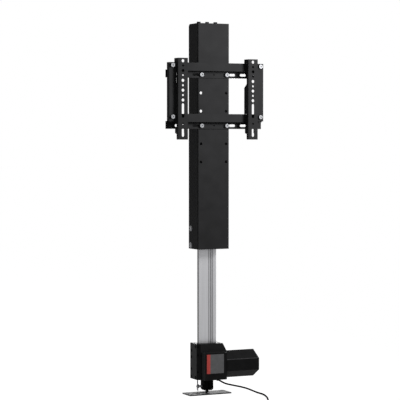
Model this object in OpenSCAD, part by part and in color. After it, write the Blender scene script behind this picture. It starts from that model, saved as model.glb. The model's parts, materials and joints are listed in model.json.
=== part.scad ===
// Motorised lift for a flat screen: a worm-driven screw inside an aluminium column
// raises a folded steel sleeve that carries two rails and two hook-on arms.
// Millimetres. Origin: centre of the base plate's underside. +X right, +Y back, +Z up.

/* [Foot] */
// Width of the base plate
plate_w = 120; // [110:1:160]
// Depth of the base plate
plate_d = 48; // [40:1:70]
// Thickness of the base plate
plate_t = 3; // [2:0.5:5]
// Diameter of the floor screw holes
plate_hole_d = 6.5; // [4:0.5:8]
// Distance of the floor screw holes from the plate's edges
plate_hole_edge = 9; // [7:0.5:12]
// Width of the lug bent up out of the plate
lug_w = 12; // [10:0.5:16]
// Thickness of the lug
lug_t = 3.5; // [2:0.5:6]
// Diameter of the clevis pin
pin_d = 6; // [4:0.5:7]
// Height of the clevis pin above the floor
pin_h = 21; // [18:1:25]
// Length of pin that sticks out of the fork on the clip side
pin_tail = 16; // [12:1:22]
// Diameter of the clevis pin's head
pin_head_d = 9; // [8:0.5:12]
// Wire diameter of the hairpin clip
clip_wire = 2; // [1:0.25:2.5]
// Length of the hairpin clip's straight leg
clip_len = 26; // [18:1:28]
// Width of the fork across both prongs
fork_w = 28; // [20:0.5:32]
// Depth of the fork
fork_d = 19; // [14:0.5:22]

/* [Gearbox] */
// Height of the gearbox underside above the floor
box_z = 40; // [38:1:50]
// Height of the gearbox
box_h = 94; // [88:1:110]
// Reach of the gearbox to the left of the screw
box_left = 37; // [35:1:45]
// Reach of the gearbox to the right of the screw
box_right = 47; // [45:1:55]
// Reach of the gearbox in front of the foot's centre line
box_front = 23; // [21:0.5:28]
// Reach of the gearbox behind the foot's centre line
box_back = 25; // [24:0.5:30]
// Wall at the gearbox's front and back
box_wall = 3; // [2:0.5:4]
// Thickness of the gearbox floor
floor_t = 14; // [12:0.5:16]
// Thickness of the gearbox roof
roof_t = 10; // [8:0.5:12]
// Thickness of the wall on the motor side
motor_wall_t = 8; // [7:0.5:9]
// Cut on the front left edge of the gearbox
corner_cut = 8; // [4:0.5:12]
// Width of the slope on the motor side's shoulder
shoulder_w = 12; // [4:0.5:14]
// Height of the slope on the motor side's shoulder
shoulder_h = 22; // [10:1:24]
// Thickness of the side cover
cover_t = 5; // [4:0.5:7]
// Head diameter of the cover screws
cover_head_d = 5.5; // [4:0.25:6]
// Depth at which the cover screws' heads lie
cover_head_sink = 2.5; // [1:0.25:3]
// Reach of the front housing to the left of the screw
front_left = 26; // [22:1:28]
// Reach of the front housing to the right of the screw
front_right = 37; // [34:1:42]
// How far the front housing stands out of the gearbox
front_d = 21; // [18:0.5:26]
// Height of the front housing
front_h = 71.5; // [60:0.5:80]
// Wall of the front housing
front_wall = 2.5; // [1.5:0.25:4]
// Width of the blank label
label_w = 49; // [30:1:55]
// Height of the blank label
label_h = 50; // [30:1:56]

/* [Drive] */
// Height of the worm above the gearbox underside
worm_h = 37; // [36:0.5:42]
// Place of the screw behind the foot's centre line
screw_y = 8; // [6:0.5:9]
// Diameter of the lead screw
screw_d = 10; // [8:0.5:11]
// Module of the worm wheel
gear_module = 1.25; // [1.2:0.01:1.3]
// Teeth on the worm wheel
wheel_teeth = 20; // [18:1:20]
// Pitch diameter of the worm
worm_pd = 11; // [11:0.25:12]
// Face width of the worm wheel
wheel_face = 8; // [6:0.5:9]
// Outer diameter of the screw bearings
bearing_d = 24; // [20:0.5:25]
// Width of the screw bearings
bearing_w = 6; // [5:0.5:7]
// Diameter of the motor shaft
shaft_d = 5; // [4:0.25:6]
// Outer diameter of the worm bearings
worm_bearing_d = 16; // [13:0.5:18]
// Width of the worm bearings
worm_bearing_w = 5; // [4:0.5:6]

/* [Motor] */
// Depth of the six-sided motor cover
motor_d = 70; // [64:0.5:74]
// Height of the motor cover from its lower to its upper ridge
motor_h = 71.5; // [64:0.5:74]
// Height of the motor cover's upright sides
motor_flat = 30; // [24:0.5:36]
// Reach of the motor cover to the right of the screw
motor_reach = 131; // [128:1:150]
// Wall of the motor cover
motor_wall = 2.5; // [1.5:0.25:4]
// Length of the end cap
cap_l = 8; // [6:0.5:12]
// Outer diameter of the motor's steel can
can_d = 44; // [42:0.5:54]
// Wall of the motor's steel can
can_t = 2; // [1.5:0.25:3]
// Thickness of the magnets
magnet_t = 8; // [5:0.25:8]
// Diameter of the armature
armature_d = 22; // [18:0.5:23]

/* [Column] */
// Width of the column's front flange
col_w = 50; // [44:0.5:56]
// Thickness of the column's front flange
col_flange = 10; // [8:0.5:11]
// Place of the column's face in front of the foot's centre line
col_front = 3; // [2.5:0.5:5]
// Width of the column's rear spine
spine_w = 30; // [26:0.5:34]
// How far the spine stands out behind the flange
spine_d = 14; // [13:0.5:16]
// Diameter of the bore in the column
bore_d = 18; // [17.5:0.25:18.5]
// Width of the shallow recess in the column's face
recess_w = 14; // [8:0.5:16]
// Depth of the shallow recess in the column's face
recess_d = 0.6; // [0.3:0.1:1]
// Place of the recess to the right of the screw
recess_x = 9; // [8:0.5:12]
// Width of the slot in the recess
slot_w = 4; // [2:0.5:5]
// Depth of the slot below the column's face
slot_d = 2.4; // [1.2:0.1:3]
// Outer diameter of the push tube
tube_d = 16; // [14:0.5:16.5]
// Wall of the push tube
tube_t = 2; // [1:0.25:2]
// Height of the drive nut
nut_h = 24; // [16:1:30]
// Height of the slider on top of the column
slider_t = 12; // [8:0.5:16]

/* [Sleeve] */
// Width of the sleeve
sleeve_w = 90; // [86:1:110]
// Length of the sleeve
sleeve_l = 585.5; // [500:0.5:700]
// Steel thickness of the sleeve
sleeve_t = 2; // [1.5:0.25:3]
// Place of the sleeve's face in front of the foot's centre line
sleeve_front = 40; // [36:0.5:50]
// Place of the sleeve's rear edge behind the foot's centre line
sleeve_back = 16.5; // [14:0.5:26]
// Diameter of the holes for the bracket's bolts in the sleeve
sleeve_hole_d = 7.5; // [6.5:0.25:8]
// Bend radius of the sleeve
sleeve_r = 3; // [2:0.5:6]
// Rounding of the side walls' upper rear corners
sleeve_corner = 8; // [2:0.5:12]
// How far the sleeve stands above its lowest place
raised = 244; // [0:1:500]
// Gap above the gearbox at the lowest place
park_gap = 5; // [2:0.5:20]
// Height of the guide blocks
guide_h = 57.5; // [54:0.5:70]
// Place of the guide blocks above the sleeve's lower edge
guide_lift = 2.5; // [1:0.5:8]
// Thickness of the guide blocks' jaws
jaw_t = 6; // [4:0.5:7]
// How far the jaws grip the column's flange
jaw_grip = 3.5; // [2:0.25:5]
// Distance between the screws of one guide block
guide_pitch = 43.5; // [30:0.5:45]
// Thickness of the head block below the sleeve's top
head_t = 10; // [9:0.5:14]
// Distance between the screws on the sleeve's top
top_pitch = 24; // [18:0.5:26]

/* [Bracket] */
// Gap between an arm and the upright beside it
arm_gap = 0.75; // [0.5:0.25:20]
// How far the rails' webs reach past the uprights
rail_past = 2; // [1:0.5:6]
// Steel thickness of the rails and uprights
rail_t = 2.5; // [2:0.25:3]
// Height of the rail's web
web_h = 20; // [18:0.5:24]
// How far the rail's lip stands in front of the sleeve
rail_d = 17; // [16:0.5:20]
// Height of the rail's lip above the web's upper edge
lip_h = 18.5; // [16:0.5:24]
// Distance from the upper to the lower rail
rail_pitch = 131.5; // [125:0.5:140]
// Distance of the upper bolts below the sleeve's top
bolt_drop = 133; // [110:0.5:150]
// Distance of the rail bolts from the sleeve's sides
bolt_in = 9; // [8:0.5:15]
// Distance between the bracket's mounting heights
step_pitch = 47; // [40:0.5:60]
// Diameter of the rail and upright bolts
bolt_d = 6; // [5:0.5:6]
// Width of the bolts' heads across the flats
bolt_af = 10; // [9:0.5:11]
// Height of the bolts' heads
bolt_head = 4.5; // [3:0.25:5]
// Length of the slots in the rails
rail_slot_l = 18; // [10:0.5:24]
// Height of the slots in the rails
rail_slot_h = 6.5; // [4:0.25:8]
// Width of the uprights
upright_w = 20.25; // [18:0.25:22]
// Depth of the uprights' outer flange
upright_d = 15; // [8:0.5:16]

/* [Arms] */
// Distance between the arms' hole rows
arm_spacing = 200; // [120:1:204]
// Length of the arms
arm_l = 208.5; // [206:0.5:240]
// Width of the arms
arm_w = 27; // [22:0.5:30]
// Depth of the arms' flanges
arm_d = 25; // [23:0.5:26]
// Steel thickness of the arms
arm_t = 2; // [1.5:0.25:2.5]
// Height of the arms above the upper rail's lip
arm_over = 11; // [8:0.5:16]
// Diameter of the arms' large holes
arm_hole_d = 8; // [6:0.25:9]
// Diameter of the arms' small holes
arm_eye_d = 5.5; // [3:0.25:6]
// Width of the slots in an arm
arm_slot_w = 7; // [5:0.25:8]
// Distance between the holes in an arm
arm_pitch = 12.5; // [11:0.25:12.5]
// Length of the middle slot in an arm
mid_slot_l = 37; // [20:0.5:40]
// Length of the lower slot in an arm
low_slot_l = 21.5; // [12:0.5:24]

/* [Cable] */
// Diameter of the motor cable
cable_d = 4.5; // [4:0.1:4.5]
// Diameter of the strain relief at the gearbox
gland_d = 8; // [6.5:0.5:9]
// Length of the strain relief
gland_l = 9; // [8:0.5:11]
// Diameter of the connector
plug_d = 13; // [11:0.5:14]
// Length of the connector's body
plug_l = 26; // [20:1:34]
// Turns of cable in each of the coil's two layers
coil_turns = 2.5; // [1.5:1:3.5]
// Radius at which the coil's spiral reverses
coil_in = 20; // [18:0.5:22]

/* [Hidden] */

$fn = 48;
eps = 0.01;
// Clearances: a pin or shaft in its hole, a press fit, a sliding face, a free gap
run = 0.05;
press = 0.02;
slide = 0.3;
free = 0.5;
// How far a cutter reaches past the face it cuts
past = 1;

black_paint = [0.20, 0.20, 0.20];
black_plastic = [0.13, 0.13, 0.14];
zinc = [0.76, 0.77, 0.78];
bare_alloy = [0.70, 0.71, 0.72];
steel = [0.50, 0.51, 0.52];
nylon = [0.88, 0.88, 0.84];
copper = [0.72, 0.45, 0.28];

// Foot
lug_top = pin_h + lug_w / 2;
window_l = lug_top + plate_t;
pin_left = -fork_w / 2 - pin_tail;
pin_head_t = 2;
clip_inset = 3.5;
clip_x = pin_left + clip_inset;
clip_gap = pin_d / 2 + clip_wire / 2 + run;
fork_gap = 0.5;
fork_low = 10;
fork_cut = 4;
lug_gap = 2;
stud_d = 12;
stud_l = 6;

// Gearbox
box_top = box_z + box_h;
worm_z = box_z + worm_h;
wheel_pd = gear_module * wheel_teeth;
worm_y = screw_y - (wheel_pd + worm_pd) / 2;
cavity_z = box_z + floor_t;
cavity_top = box_top - roof_t;
pocket_skin = 1;
cover_x = -box_left + cover_t;
cover_screw_d = 3;
cover_screw_l = 9;
cover_screw_edge = 7;
cover_screw_z = [6, 26, 57, 74];
front_screw_z = [6, 86];
cover_head_h = 1.8;
boss_wall = 2;
bearing_wall = 1.75;
pit_d = 5;
pit_deep = 2;
pit_z = [21, 65.5, 87];
pit_in = cover_t / 2;
front_rise = 1;
front_z = box_z + front_rise;
front_y = -box_front - front_d;
label_t = 0.4;
label_shift = 2;
label_edge = 4;
label_x = (front_right - front_left) / 2 - label_shift;
label_z = front_z + front_h - label_h / 2 - label_edge;
post_d = 6;
post_l = 10;
board_t = 1.6;
board_w = 44;
board_h = 40;
board_x = 5;
relay = [10, 6, 16];

// Drive: axial pitch and depths of the worm and its wheel
axial_pitch = PI * gear_module;
worm_starts = 2;
worm_samples = 8;
worm_pitches = 6;
worm_l = worm_pitches * axial_pitch;
thread_h = 1;
wheel_below = 1.3;
wheel_above = 0.5;
worm_core = worm_pd / 2 - thread_h;
worm_tip = worm_pd / 2 + thread_h;
wheel_root = wheel_pd / 2 - wheel_below;
wheel_tip = wheel_pd / 2 + wheel_above;
tooth_bed = 1;
tooth_tip_w = 1.1;
tooth_root_w = 2;
lead_angle = atan(axial_pitch * worm_starts / (PI * worm_pd));
hub_d = 18;
hub_h = 14;
collar_d = 14;
lower_bearing_z = cavity_z - bearing_w;
upper_bearing_z = cavity_top;
screw_hole_d = collar_d;

// Motor
motor_slope = atan((motor_h - motor_flat) / motor_d);
motor_right = motor_reach - cap_l;
can_x = box_right;
bell_t = 5;
bell_lip = 3;
bell_gap = 12;
can_l = motor_right - bell_gap - bell_t - can_x;
can_end = can_x + can_l;
armature_inset = 14;
armature_x = can_x + armature_inset;
commutator_d = 12;
commutator_l = 6;
commutator_gap = 1;
commutator_x = can_end - bell_lip - commutator_l - commutator_gap;
winding_gap = 8;
armature_l = commutator_x - winding_gap - armature_x;
armature_slots = 7;
armature_slot = 2;
armature_slot_deep = 3;
brush_w = 5;
brush_l = 7.5;
shaft_right = can_end + bell_t;

// Column, slider and drive nut
col_back = col_flange - col_front;
head_under = box_top + park_gap + sleeve_l - sleeve_t - head_t;
col_top = head_under - free - slider_t;
col_screw_d = 5;
col_screw_out = 4;
col_screw_x = spine_w / 2 + col_screw_out;
col_screw_deep = 14;
col_screw_y = -col_front + col_flange / 2;
col_head_d = 8;
col_head_h = 4;
slider_front = 16;
nut_gap = 8;
nut_z = box_top + nut_gap + raised;
nut_spigot = 8;
screw_top = col_top - free;

// Sleeve
sleeve_z = box_top + park_gap + raised;
sleeve_top = sleeve_z + sleeve_l;
inner_w = sleeve_w - 2 * sleeve_t;
hole_clear = 0.5;
guide_y = -col_front + col_flange / 2;
guide_screw_y = guide_y;
guide_screw_d = 5;
guide_screw_l = 14;
guide_head_d = 9;
guide_head_h = 3;
guide_z = sleeve_z + guide_lift;
head_z = sleeve_top - sleeve_t - head_t;
head_margin = 7;
head_rim = 2;
head_w = 2 * (top_pitch + head_margin);
head_front = 9;
head_back = min(sleeve_back, screw_y + tube_d / 2 + head_rim) + head_front;
socket_deep = 5;
top_screw_d = 6;
top_screw_l = 4;
top_head_d = 11;
top_head_h = 6;

// Bracket: the uprights stand beside the arms, and the rails reach a little past them
upright_out = (arm_spacing + arm_w) / 2 + arm_gap + upright_w;
rail_l = 2 * (upright_out + rail_past);
rail_z = sleeve_top - bolt_drop;
bolt_dx = sleeve_w - 2 * bolt_in;
web_front = -sleeve_front - rail_t;
web_low = 8.5;
shelf_z = web_h - web_low;
lip_front = -sleeve_front - rail_d;
lip_back = lip_front + rail_t;
lip_top = shelf_z + lip_h;
lip_l = 2 * (upright_out - rail_t - slide);
upright_front = lip_front - rail_t;
upright_bolt_in = 9;
upright_bolt_rise = 11;
upright_x = upright_out - upright_bolt_in;
upright_bolt_z = shelf_z + upright_bolt_rise;
slot_gap = 16.5;
end_hole_in = 29.5;
end_hole_l = 9;
first_slot_x = bolt_dx / 2 + slot_gap;
end_hole_x = rail_l / 2 - end_hole_in;
slot_share = 0.57;
rail_slot_x = [first_slot_x, first_slot_x + slot_share * (end_hole_x - first_slot_x)];
rail_eye_d = 4;
nut_t = 5;
thread_past = 2;
socket_d = 4;
socket_h = 1.5;

// Arms: the flange's outline is given by how far it reaches back
arm_stand = 12;
strip_gap = 1.2;
hook_gap = 0.6;
short_hook = 18;
arm_front = lip_front - arm_stand;
arm_strip = lip_front - strip_gap;
arm_back = arm_front + arm_d;
arm_hook = lip_back + hook_gap;
arm_top = rail_z + lip_top + arm_over;
arm_low = arm_top - arm_l;
low_rail_z = rail_z - rail_pitch;
hook_clear = 2;
notch_drop = 23;
notch_slope = 10;
bump_gap = 1.5;
bump_drop = 19;
bump_slope = 3;
toe_cut = 2;
hook_z = rail_z + lip_top + slide;
hook_low = rail_z + shelf_z + hook_clear;
notch_z = rail_z - notch_drop;
low_lip_z = low_rail_z + lip_top + slide;
low_web_z = low_rail_z - web_low + bump_gap;
bump_back = web_front - bolt_head - bump_gap;
bump_low = low_rail_z - bump_drop;
arm_edge = 7.5;
arm_holes = 9;
mid_slot_gap = 8.5;
mid_slot_drop = arm_edge + (arm_holes - 1) * arm_pitch + mid_slot_gap;
low_slot_rise = 7;
low_eye_gap = 12;
low_eye_rise = low_slot_rise + low_slot_l + low_eye_gap;

// Cable: exit below the gearbox and direction there
cable_r = cable_d / 2;
gland_pos = [22, -8, box_z];
gland_tilt = 30;
gland_dir = [cos(gland_tilt), 0, -sin(gland_tilt)];
gland_end = gland_pos + gland_l * gland_dir;
tube_sides = 8;
coil_sides = 6;
coil_steps = 24;
coil_step = cable_d + free;
tie_t = 0.9;
tie_w = 8;
tie_gap = 2;
tie_turn = 120;
coil_z = tie_t + slide + cable_r;
coil_pos = [75, -286];
coil_turn = 155;
coil_out = coil_in + coil_step * coil_turns;
coil_way = [-sin(coil_turn), cos(coil_turn), 0];
plug_r = plug_d / 2;
plug_boot = 14;
boot_wall = 0.75;
boot_d = 10.4;
plug_wall = 1.95;
plug_socket_l = 10.4;

// Route of the free cable from the strain relief to the coil
route = [
    gland_end,
    gland_end + 5 * gland_dir,
    gland_end + 10 * gland_dir,
    [47, -9.5, 26], [56, -11.5, 23], [65, -14, 20.8], [74, -17, 18.7], [84, -21, 16.5],
    [94, -26.5, 14], [103, -33.5, 11], [110.5, -42, 7.5], [116.5, -51.5, 4.5], [120.5, -62, 2.8],
    [122, -73, 2.4], [121.5, -84, 2.4], [119.5, -95, 2.4], [117, -106, 2.4], [114, -117, 2.4],
    [110.5, -127, 2.4], [107, -137, 2.4], [103, -147, 2.4], [98.5, -157, 2.4], [94, -167, 2.4],
    [89.5, -177, 2.4], [85, -187, 2.4], [80.5, -197, 2.4], [76, -207, 2.4], [71.5, -216.5, 2.4],
    [67, -226.5, 2.4], [62.5, -236, 2.5], [58, -246, 2.7], [53.5, -255.5, 3.1],
    coil_point(-coil_turns) - cable_d * coil_way,
    coil_point(-coil_turns)
];

// Tail from the coil to the connector: distance along the tangent, drop
tail = [[cable_d, 0], [10, 0.4], [15, 1], [20, 1.6], [24, 1.85], [28, 1.95], [33, 1.95]];
tail_drop = coil_z + coil_step - plug_r;
tail_end = coil_point(coil_turns) + tail[len(tail) - 1][0] * coil_way - [0, 0, tail_drop];

// Turn t of the coil, from -coil_turns to coil_turns: in on the floor, out on top
function coil_climb(t) = max(0, min(1, 2 * t + 0.5));
function coil_point(t) =
    let (a = coil_turn + 360 * (t + coil_turns), r = coil_in + coil_step * abs(t))
    [coil_pos.x + r * cos(a), coil_pos.y + r * sin(a), coil_z + coil_step * coil_climb(t)];

function unit(v) = v / norm(v);
function heading(p, i) = unit(p[min(i + 1, len(p) - 1)] - p[max(i - 1, 0)]);
function ring(p, i, r, n) =
    let (t = heading(p, i), s = unit(cross(t, [0, 0, 1])), u = cross(s, t))
    [for (k = [0:n - 1]) p[i] + r * (cos(360 * k / n) * s + sin(360 * k / n) * u)];
function skin_faces(m, n) = concat(
    [for (k = [1:n - 2]) [0, k + 1, k]],
    [for (i = [0:m - 2], k = [0:n - 1], h = [0, 1])
        let (a = i * n + k, b = i * n + (k + 1) % n)
        h == 0 ? [a, b, b + n] : [a, b + n, a + n]],
    [for (k = [1:n - 2]) [(m - 1) * n, (m - 1) * n + k, (m - 1) * n + k + 1]]
);

// Least distance between stretches of a path that are not neighbours along it
function self_gap(p, skip, d) =
    min([for (i = [0:len(p) - 1]) for (j = [i + skip:1:len(p) - 1]) norm(p[i] - p[j])]) - d;

// Points of an arc, for outlines with round corners
function arc(c, r, a0, a1, n = 6) =
    [for (i = [0:n]) c + r * [cos(a0 + (a1 - a0) * i / n), sin(a0 + (a1 - a0) * i / n)]];

// Round tube along a path
module swept(p, r, n) {
    polyhedron([for (i = [0:len(p) - 1]) each ring(p, i, r, n)], skin_faces(len(p), n));
}

// Rod along +X from x0 to x1
module rod_x(x0, x1, d) {
    translate([x0, 0, 0]) rotate([0, 90, 0]) cylinder(h = x1 - x0, d = d);
}

// Rod along +Y from y0 to y1
module rod_y(y0, y1, d) {
    translate([0, y1, 0]) rotate([90, 0, 0]) cylinder(h = y1 - y0, d = d);
}

// Prism along +X over an outline given in Y and Z
module prism_x(x0, x1, outline) {
    translate([x0, 0, 0])
        rotate([90, 0, 90])
            linear_extrude(x1 - x0) polygon(outline);
}

// Slot with round ends, cut through along Y: length along X, or along Z if upright
module slot_y(y0, y1, l, d, upright = false) {
    turn = upright ? 90 : 0;
    rotate([0, turn, 0]) {
        for (s = [-1, 1]) translate([s * (l - d) / 2, 0, 0]) rod_y(y0, y1, d);
        translate([-(l - d) / 2, y0, -d / 2]) cube([l - d, y1 - y0, d]);
    }
}

// Six-sided head along +Z
module hex(af, h) {
    cylinder(h = h, d = af / cos(30), $fn = 6);
}

// Outline of the six-sided motor cover, set in by a wall
function motor_outline(inset) =
    let (y = motor_d / 2 - inset, ridge = motor_h / 2 - inset / cos(motor_slope),
         flat = ridge - y * tan(motor_slope))
    [[y, -flat], [y, flat], [0, ridge], [-y, flat], [-y, -flat], [0, -ridge]];

// FOOT

module base_plate() {
    color(steel) {
        difference() {
            translate([-plate_w / 2, -plate_d / 2, 0]) cube([plate_w, plate_d, plate_t]);
            for (sx = [-1, 1], sy = [-1, 1])
                translate([sx * (plate_w / 2 - plate_hole_edge),
                           sy * (plate_d / 2 - plate_hole_edge), -eps])
                    cylinder(h = plate_t + 2 * eps, d = plate_hole_d);
            translate([-lug_t / 2 - window_l, -lug_w / 2, -eps])
                cube([window_l, lug_w, plate_t + 2 * eps]);
        }
        difference() {
            union() {
                translate([-lug_t / 2, -lug_w / 2, plate_t - eps]) cube([lug_t, lug_w, pin_h - plate_t + eps]);
                translate([0, 0, pin_h]) rod_x(-lug_t / 2, lug_t / 2, lug_w);
            }
            translate([0, 0, pin_h]) rod_x(-lug_t, lug_t, pin_d + 2 * run);
        }
    }
}

module clevis_pin() {
    color(zinc)
        difference() {
            translate([0, 0, pin_h]) {
                rod_x(pin_left, fork_w / 2 + eps, pin_d);
                translate([fork_w / 2 + run, 0, 0]) rod_x(0, pin_head_t, pin_head_d);
                rod_x(fork_w / 2, fork_w / 2 + 2 * run, pin_d);
            }
            translate([clip_x, 0, pin_h - pin_d])
                cylinder(h = 2 * pin_d, d = clip_wire + 2 * run);
        }
}

module hairpin_clip() {
    color(zinc)
        translate([clip_x, 0, pin_h - clip_len / 2]) {
            cylinder(h = clip_len, d = clip_wire);
            translate([0, clip_gap, pin_d / 2])
                cylinder(h = clip_len - pin_d / 2, d = clip_wire);
            translate([0, clip_gap / 2, clip_len])
                rotate([90, 0, 90])
                    rotate_extrude(angle = 180) translate([clip_gap / 2, 0]) circle(d = clip_wire);
        }
}

module rear_fork() {
    slot_top = lug_top + lug_gap;
    half_w = fork_w / 2;
    front_view = [
        [-half_w + fork_cut, fork_low], [half_w - fork_cut, fork_low], [half_w, fork_low + fork_cut],
        [half_w, box_z], [-half_w, box_z], [-half_w, fork_low + fork_cut]
    ];
    color(black_plastic)
        difference() {
            union() {
                translate([0, fork_d / 2, 0])
                    rotate([90, 0, 0]) linear_extrude(fork_d) polygon(front_view);
                translate([0, 0, box_z - eps]) cylinder(h = stud_l + eps, d = stud_d - 2 * press);
            }
            translate([0, 0, pin_h]) rod_x(-fork_w, fork_w, pin_d + 2 * run);
            translate([-lug_t / 2 - fork_gap, -fork_d, 0])
                cube([lug_t + 2 * fork_gap, 2 * fork_d, slot_top]);
        }
}

// GEARBOX

// Solid outer form of the gearbox with its slope and its cut edge
module gearbox_form(x0, x1) {
    outline = [
        [-box_left, -box_front + corner_cut], [-box_left + corner_cut, -box_front],
        [box_right, -box_front], [box_right, box_back], [-box_left, box_back]
    ];
    intersection() {
        translate([0, 0, box_z]) linear_extrude(box_h) polygon(outline);
        translate([0, box_back, 0])
            rotate([90, 0, 0])
                linear_extrude(box_back + box_front)
                    polygon([
                        [x0, box_z], [x1, box_z], [x1, min(box_top, shoulder_z(x1))],
                        [min(x1, box_right - shoulder_w), box_top], [x0, box_top]
                    ]);
    }
}

// Height of the sloping shoulder at x
function shoulder_z(x) = box_top - shoulder_h * max(0, x - box_right + shoulder_w) / shoulder_w;

module cover_screw_places() {
    for (z = cover_screw_z)
        translate([-box_left, box_back - cover_screw_edge, box_z + z]) children();
    for (z = front_screw_z)
        translate([-box_left, -box_front + corner_cut + cover_screw_edge, box_z + z]) children();
}

module gearbox_housing() {
    boss_w = cover_screw_d + 2 * boss_wall;
    color(black_plastic)
        difference() {
            union() {
                difference() {
                    gearbox_form(cover_x, box_right);
                    translate([cover_x - eps, -box_front + box_wall, cavity_z])
                        cube([box_right - motor_wall_t - cover_x + eps,
                              box_front + box_back - 2 * box_wall, cavity_top - cavity_z]);
                }
                for (z = cover_screw_z)
                    translate([cover_x, box_back - cover_screw_edge - boss_w / 2, box_z + z - boss_w / 2])
                        cube([cover_screw_l + past, boss_w / 2 + cover_screw_edge - eps, boss_w]);
                for (sx = [-1, 1], sz = [-1, 1])
                    translate([board_x + sx * (board_w / 2 - post_d / 2), 0,
                               worm_z + sz * (board_h / 2 - post_d / 2)])
                        rod_y(-box_front - post_l, -box_front + eps, post_d);
            }
            translate([0, screw_y, lower_bearing_z])
                cylinder(h = bearing_w + eps, d = bearing_d + 2 * press);
            translate([0, screw_y, cavity_top - eps])
                cylinder(h = bearing_w + eps, d = bearing_d + 2 * press);
            translate([0, screw_y, cavity_top])
                cylinder(h = roof_t + eps, d = screw_hole_d);
            translate([0, worm_y, worm_z]) {
                rod_x(box_right - motor_wall_t - eps, box_right - motor_wall_t + worm_bearing_w,
                      worm_bearing_d + 2 * press);
                rod_x(box_right - motor_wall_t, box_right + eps, commutator_d);
            }
            translate([0, 0, box_z - eps]) cylinder(h = stud_l + 2 * eps, d = stud_d);
            for (s = [-1, 1])
                translate([s * col_screw_x, col_screw_y, cavity_top - eps])
                    cylinder(h = roof_t + 2 * eps, d = col_screw_d + 2 * run);
            cover_screw_places()
                rod_x(cover_t, cover_t + cover_screw_l, cover_screw_d + 2 * press);
        }
}

module gearbox_cover() {
    boss_d = worm_bearing_d + 2 * bearing_wall;
    boss_x = cover_x + worm_bearing_w + pocket_skin;
    color(black_plastic)
        difference() {
            union() {
                gearbox_form(-box_left, cover_x);
                translate([0, worm_y, worm_z]) rod_x(cover_x - eps, boss_x, boss_d);
            }
            translate([0, worm_y, worm_z])
                rod_x(boss_x - worm_bearing_w, boss_x + eps, worm_bearing_d + 2 * press);
            cover_screw_places() {
                rod_x(-eps, cover_head_sink + cover_head_h, cover_head_d + 2 * press);
                rod_x(0, cover_t + eps, cover_screw_d + 2 * press);
            }
            for (z = pit_z)
                translate([-box_left + pit_in, -box_front + corner_cut - pit_in, box_z + z])
                    rotate([0, 0, 45]) rod_x(-pit_deep, pit_deep, pit_d);
        }
}

module cover_screws() {
    color(steel)
        cover_screw_places() {
            rod_x(cover_head_sink, cover_head_sink + cover_head_h, cover_head_d);
            rod_x(cover_head_sink, cover_t + cover_screw_l - free, cover_screw_d);
        }
}

module front_housing() {
    color(black_plastic)
        difference() {
            translate([-front_left, front_y, front_z]) cube([front_left + front_right, front_d, front_h]);
            translate([-front_left + front_wall, front_y + front_wall, front_z + front_wall])
                cube([front_left + front_right - 2 * front_wall, front_d, front_h - 2 * front_wall]);
        }
}

module blank_label() {
    color([0.55, 0.55, 0.56])
        translate([label_x - label_w / 2, front_y - label_t, label_z - label_h / 2])
            cube([label_w, label_t, label_h]);
}

module limit_board() {
    y = -box_front - post_l - board_t;
    color([0.10, 0.32, 0.18])
        translate([board_x - board_w / 2, y, worm_z - board_h / 2])
            cube([board_w, board_t, board_h]);
    color(black_plastic)
        for (s = [-1, 1])
            translate([board_x + s * relay.x - relay.x / 2, y - relay.y, worm_z - relay.z / 2])
                cube(relay + [-slide, eps, 0]);
}

// MOTOR

module motor_cover() {
    color(black_plastic)
        difference() {
            translate([0, worm_y, worm_z]) prism_x(front_right, motor_right, motor_outline(0));
            translate([0, worm_y, worm_z])
                prism_x(front_right - eps, motor_right + eps, motor_outline(motor_wall));
            translate([front_right - past, -box_front, worm_z - motor_h])
                cube([box_right - front_right + past, motor_d + box_front, 2 * motor_h]);
        }
}

module motor_end_cap() {
    color(black_plastic)
        translate([0, worm_y, worm_z]) prism_x(motor_right, motor_reach, motor_outline(0));
}

module motor_can() {
    color(zinc)
        translate([0, worm_y, worm_z])
            difference() {
                rod_x(can_x, can_end, can_d);
                rod_x(can_x + can_t, can_end + eps, can_d - 2 * can_t);
                rod_x(can_x - eps, can_end, commutator_d);
            }
}

module motor_magnets() {
    gap_w = 10;
    color(steel)
        translate([0, worm_y, worm_z])
            difference() {
                rod_x(armature_x, armature_x + armature_l, can_d - 2 * can_t - 2 * press);
                rod_x(armature_x - eps, armature_x + armature_l + eps,
                      can_d - 2 * can_t - 2 * magnet_t);
                translate([armature_x - eps, -can_d, -gap_w / 2])
                    cube([armature_l + 2 * eps, 2 * can_d, gap_w]);
            }
}

module motor_end_bell() {
    color(black_plastic)
        translate([0, worm_y, worm_z])
            difference() {
                union() {
                    rod_x(can_end, can_end + bell_t, can_d);
                    rod_x(can_end - bell_lip, can_end + eps, can_d - 2 * can_t - 2 * press);
                }
                rod_x(can_end - bell_lip - eps, shaft_right + eps, shaft_d + 2 * run);
            }
}

module motor_brushes() {
    brush_r = commutator_d / 2 + slide;
    color([0.15, 0.15, 0.15])
        translate([0, worm_y, worm_z])
            for (s = [0, 180])
                rotate([s, 0, 0])
                    translate([commutator_x, brush_r, -brush_w / 2])
                        cube([can_end - bell_lip - commutator_x, brush_l, brush_w]);
}

module motor_shaft() {
    left = cover_x + pocket_skin + slide;
    color(steel)
        translate([0, worm_y, worm_z]) {
            rod_x(left, -worm_l / 2, shaft_d);
            rod_x(worm_l / 2, shaft_right, shaft_d);
        }
}

module armature() {
    color(copper)
        translate([0, worm_y, worm_z])
            difference() {
                union() {
                    rod_x(armature_x, armature_x + armature_l, armature_d);
                    rod_x(armature_x, commutator_x + commutator_l, commutator_d);
                }
                rod_x(can_x, can_end, shaft_d + 2 * press);
                for (k = [0:armature_slots - 1])
                    rotate([360 * k / armature_slots, 0, 0])
                        translate([armature_x - eps, -armature_slot / 2, armature_d / 2 - armature_slot_deep])
                            cube([armature_l + 2 * eps, armature_slot, armature_d]);
            }
}

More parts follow.
